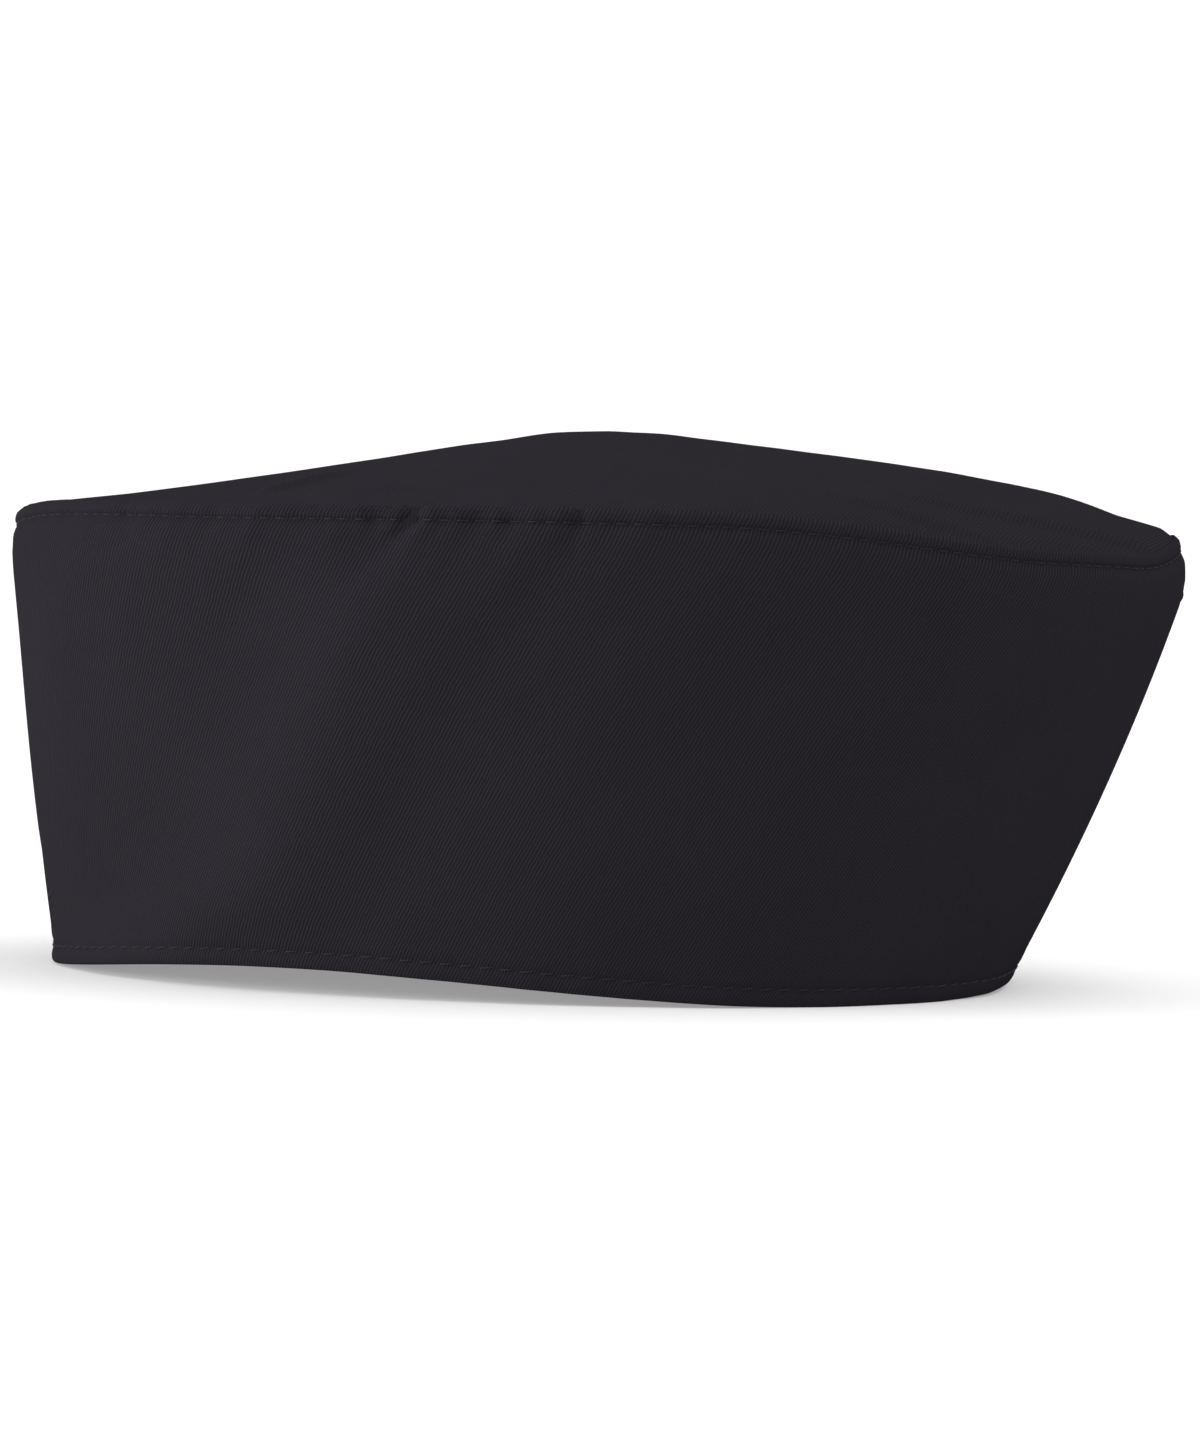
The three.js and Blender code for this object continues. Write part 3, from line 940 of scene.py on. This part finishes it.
def stitches(name, row, pitch, fill, radius=THREAD, body="cap"):
    """A row of stitches. row(k) gives the surface point and the way out of it at stitch place k."""
    paths = []
    for k in row["places"]:
        span = np.linspace(k - fill * pitch / 2, k + fill * pitch / 2, len(STITCH_BOW))
        paths.append(row["at"](span, STITCH_BOW))
    points, faces, flats = stitch_mesh(paths, radius)
    return new_piece(name, points, faces, flats, THREADS, body)


def angle_at(length):
    return np.interp(length, ARC_LENGTHS, ARC_ANGLES)


def ring_places(pitch, low_angle, high_angle):
    start, stop = arc(low_angle), arc(high_angle)
    first = math.ceil(start / pitch)
    return [(k + 0.5) * pitch for k in range(first, int(stop / pitch) - 1)]


def rim_row(lengths, out):
    angles = angle_at(lengths)
    height = BAND - RIM_ROW + 0 * lengths
    surface = band_relief(angles, height) - tuck(angles, height)
    return wall(angles, height, -(surface + out))


def hem_row(lengths, out):
    angles = angle_at(lengths)
    slant = 0.12 * (lengths - lengths.mean())
    height = HEM_ROW + slant
    surface = band_relief(angles, height) - tuck(angles, height)
    return wall(angles, height, -(surface + out))


def make_rim_stitches():
    places = ring_places(RIM_PITCH, 0.0, TURN)
    piece = stitches("crown_stitches", {"places": places, "at": rim_row}, RIM_PITCH, 0.8)
    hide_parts("crown_topstitch")


def make_hem_stitches():
    places = ring_places(HEM_PITCH, along(2), TURN - along(2))
    piece = stitches("hem_stitches", {"places": places, "at": hem_row}, HEM_PITCH, 0.76)
    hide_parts("hem_topstitch")


# ---- The closure ----
def flap_edge(height):
    into = np.maximum(0, FLAP["corner"] - (height - FLAP["low"]))
    return flap_reach(height) - FLAP["corner"] + np.sqrt(FLAP["corner"] ** 2 - into**2)


def flap_relief(length, height):
    """The flap's own softness, with the furrow of the stitches along its edge."""
    line = flap_reach(height) - FLAP_ROW
    furrow = -0.2 * bell(length - line, 0.5) - 0.2 * bell(height - FLAP["low"] - FLAP_ROW, 0.5)
    lip = 0.18 * bell(length - line - 1.8, 1.2)
    return furrow * smooth(length / 3) + lip + 0.12 * waves(height, 51, 3, 14, 40) * smooth(length / 8)


def on_flap(length, height, out):
    return wall(along(length), height, -(flap_relief(length, height) + out))


def flap_piece(name, node, depth, thickness, short, material, relief):
    corner = FLAP["low"] + FLAP["corner"] * (1 - np.cos(np.linspace(0, math.pi / 2, 12)))
    heights = np.concatenate([corner, np.linspace(FLAP["low"] + FLAP["corner"], FLAP["high"], 60)[1:]])
    share = np.linspace(0, 1, 50)
    reach = flap_edge(heights) - short
    lengths = SEAM_GAP / 2 + np.outer(reach - SEAM_GAP / 2, share)
    h = heights[:, None] + 0 * lengths
    edge = np.minimum(reach[:, None] - lengths, np.minimum(h - FLAP["low"], FLAP["high"] - h))
    half = thickness / 2 * rounding(np.maximum(edge, 0), 0.5)
    out = relief * flap_relief(lengths, h)
    centre = depth + thickness / 2 - out
    piece = sheet_piece(name, along(lengths), h, centre - half, centre + half, material, body=None)
    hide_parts(node)
    bend_with_flap(piece)
    return piece


def bend_with_flap(piece):
    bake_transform(piece)


def tape_piece(name, node, area, depth, follow, material):
    lengths = np.linspace(area["start"], area["end"], int((area["end"] - area["start"]) / 0.8))
    heights = edge_rows(area["low"], area["high"], 1.2, 0.4)
    s, h = np.meshgrid(lengths, heights)
    from_ends = np.minimum(s - area["start"], area["end"] - s)
    from_sides = np.minimum(h - area["low"], area["high"] - h)
    corner = np.minimum(from_ends, from_sides)
    half = TAPE / 2 * rounding(corner, 0.4)
    centre = depth + TAPE / 2 + follow * tuck(along(s), h)
    body = "cap" if follow else None
    piece = sheet_piece(name, along(s), h, centre - half, centre + half, material, body=body)
    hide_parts(node)
    return piece


def flap_line_places():
    """Points of the flap's stitch line: along its foot, round the corner, up its free edge."""
    low = FLAP["low"] + FLAP_ROW
    foot = [(x, low) for x in np.linspace(1.5, 26, 30)]
    side = [(flap_reach(h) - FLAP_ROW, h) for h in np.linspace(12, 74, 50)]
    corner = [(31.2, 5.4), (32.8, 7.6), (33.0, 9.8)]
    return np.array(foot + corner + side)


def line_row(line, at):
    """Lets stitches() run along a line of (length, height) places."""
    steps = np.concatenate([[0], np.cumsum(np.linalg.norm(np.diff(line, axis=0), axis=1))])

    def place(distance, out):
        length = np.interp(distance, steps, line[:, 0])
        height = np.interp(distance, steps, line[:, 1])
        return at(length, height, out)

    return place, steps[-1]


def make_line_stitches(name, line, at, pitch, body):
    place, total = line_row(line, at)
    count = int(total / pitch)
    places = [(k + 0.5) * total / count for k in range(count)]
    piece = stitches(name, {"places": places, "at": place}, total / count, 0.76, body=body)
    return piece


def box_line(area, inset):
    a, b = area["start"] + inset, area["end"] - inset
    low, high = area["low"] + inset, area["high"] - inset
    corners = [(a, low), (b, low), (b, high), (a, high), (a, low)]
    steps = np.linspace(0, 1, 8)
    return np.array([mix(np.array(p), np.array(q), k) for p, q in zip(corners, corners[1:]) for k in steps])


def on_loop_tape(length, height, out):
    return wall(along(length), height, tuck(along(length), height) - 0.3 - TAPE - out + 0.12)


def make_closure():
    flap_piece("flap_outer_cloth", "rear_flap_outer", 0, CLOTH, 0.0, TWILL, 1.0)
    flap_piece("flap_facing_cloth", "rear_flap_facing", STEP, CLOTH, 0.4, TWILL_INSIDE, 0.3)
    hook = tape_piece("hook_tape_cloth", "hook_tape", HOOK, 2 * STEP, 0, HOOKS)
    bend_with_flap(hook)
    tape_piece("loop_tape_cloth", "loop_tape", LOOP, -0.3 - TAPE, 1, LOOPS)
    edge = make_line_stitches("flap_stitches", flap_line_places(), on_flap, 3.2, None)
    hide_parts("flap_topstitch")
    bend_with_flap(edge)
    box = make_line_stitches("hook_box_stitches", box_line(HOOK, 2.0), on_flap, 3.0, None)
    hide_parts("hook_tape_stitch")
    bend_with_flap(box)
    make_line_stitches("loop_box_stitches", box_line(LOOP, 1.4), on_loop_tape, 3.0, "cap")


def make_bartack():
    """A dense zigzag of thread across the top of the flap."""
    half, low, high = 3.2, 80.2, 81.8
    turns = 34
    path = []
    for k in range(turns + 1):
        length = mix(-half, half, k / turns)
        height = low if k % 2 else high
        path.append((length, height))
    path = np.array(path)
    fine = np.array([mix(path[k], path[k + 1], t) for k in range(turns) for t in (0, 0.33, 0.67)])
    lift = 0.3 + 0.08 * np.sin(np.linspace(0, turns * math.pi, len(fine)))
    points, faces, flats = stitch_mesh([wall(along(fine[:, 0]), fine[:, 1], -lift)], 0.2)
    piece = new_piece("bartack_thread", points, faces, flats, THREADS)
    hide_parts("flap_bartack")


def make_label():
    centre, half, low, high = math.radians(318), 19.0, 22.0, 50.0
    lengths = np.linspace(-half, half, 50)
    heights = edge_rows(low, high, 1.0, 0.3)
    s, h = np.meshgrid(lengths, heights)
    edge = np.minimum(np.minimum(h - low, high - h), half - np.abs(s))
    thickness = 0.15 * rounding(edge, 0.3)
    depth = 3 * STEP + 0.15 + 0.25 * smooth(edge / 6) * (1 + 0.5 * np.sin(s / 4))
    piece = sheet_piece("care_label_cloth", centre + along(s), h, depth - thickness, depth + thickness, SATIN)
    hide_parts("care_label")


# ---- The set ----
def emission(name, color, strength):
    material = bpy.data.materials.new(name)
    material.use_nodes = True
    shader = material.node_tree.nodes["Principled BSDF"]
    shader.inputs["Base Color"].default_value = color
    shader.inputs["Roughness"].default_value = 0.9
    shader.inputs["Specular IOR Level"].default_value = 0.1
    shader.inputs["Emission Color"].default_value = color
    shader.inputs["Emission Strength"].default_value = strength
    return material


def make_floor():
    """A pale floor that curves up into a backdrop."""
    depth, rise, radius = 1.6, 2.4, 0.8
    profile = [(-2.5, 0.0), (depth - radius, 0.0)]
    for k in range(1, 17):
        turn = k / 16 * math.pi / 2
        profile.append((depth - radius + radius * math.sin(turn), radius * (1 - math.cos(turn))))
    profile.append((depth, rise))
    points = [(x, y, z) for x in (-3.0, 3.0) for y, z in profile]
    count = len(profile)
    faces = [(k, k + count, k + count + 1, k + 1) for k in range(count - 1)]
    mesh = bpy.data.meshes.new("floor")
    mesh.from_pydata(points, [], faces)
    mesh.polygons.foreach_set("use_smooth", [True] * len(faces))
    mesh.materials.append(emission("floor", (0.6, 0.6, 0.6, 1), 0.5))
    floor = bpy.data.objects.new("floor", mesh)
    bpy.context.scene.collection.objects.link(floor)


def area_light(name, place, target, width, height, power):
    data = bpy.data.lights.new(name, "AREA")
    data.shape = "RECTANGLE"
    data.size, data.size_y = width, height
    data.energy = power
    light = bpy.data.objects.new(name, data)
    light.location = place
    light.rotation_euler = (Vector(target) - Vector(place)).to_track_quat("-Z", "Y").to_euler()
    bpy.context.scene.collection.objects.link(light)


HORIZON_LIGHT = 0.55
CEILING_LIGHT = 1.25


def make_lights():
    centre = (0, 0, 0.06)
    area_light("key", (-1.7, -0.36, 0.1), centre, 0.8, 0.8, 42)
    area_light("top", (0.7, 0.1, 1.5), centre, 1.4, 1.4, 12.5)
    world = bpy.data.worlds.new("studio")
    world.use_nodes = True
    nodes, links = world.node_tree.nodes, world.node_tree.links
    background = nodes["Background"]
    background.inputs["Color"].default_value = (1, 1, 1, 1)
    direction = nodes.new("ShaderNodeTexCoord")
    parts = nodes.new("ShaderNodeSeparateXYZ")
    ceiling = nodes.new("ShaderNodeMapRange")
    ceiling.inputs["To Min"].default_value = HORIZON_LIGHT
    ceiling.inputs["To Max"].default_value = CEILING_LIGHT
    links.new(direction.outputs["Generated"], parts.inputs[0])
    links.new(parts.outputs["Z"], ceiling.inputs["Value"])
    links.new(ceiling.outputs["Result"], background.inputs["Strength"])
    bpy.context.scene.world = world
    bpy.context.scene.view_settings.view_transform = "Standard"


CAMERA_DISTANCE = 0.85
CAMERA_LENS = 101.6
CAMERA_CENTRE = (0.001, 0.0, 0.0529)
CAMERA_ELEVATION = math.radians(0.9)
CAMERA_ROLL = math.radians(1.55)


def make_camera():
    data = bpy.data.cameras.new("camera")
    data.lens = CAMERA_LENS
    data.sensor_width = 36
    data.clip_start = 0.01
    camera = bpy.data.objects.new("camera", data)
    back = Vector((0, -math.cos(CAMERA_ELEVATION), math.sin(CAMERA_ELEVATION)))
    place = Vector(CAMERA_CENTRE) + back * CAMERA_DISTANCE
    turn = (-back).to_track_quat("-Z", "Y").to_matrix().to_4x4()
    camera.matrix_world = Matrix.Translation(place) @ turn @ Matrix.Rotation(CAMERA_ROLL, 4, "Z")
    bpy.context.scene.collection.objects.link(camera)
    bpy.context.scene.camera = camera


make_band_outer()
make_band_stiffener()
make_band_lining()
make_seam_tape()
make_crown()
make_rim_stitches()
make_hem_stitches()
make_closure()
make_bartack()
make_label()
make_floor()
make_lights()
make_camera()

bpy.context.view_layer.update()
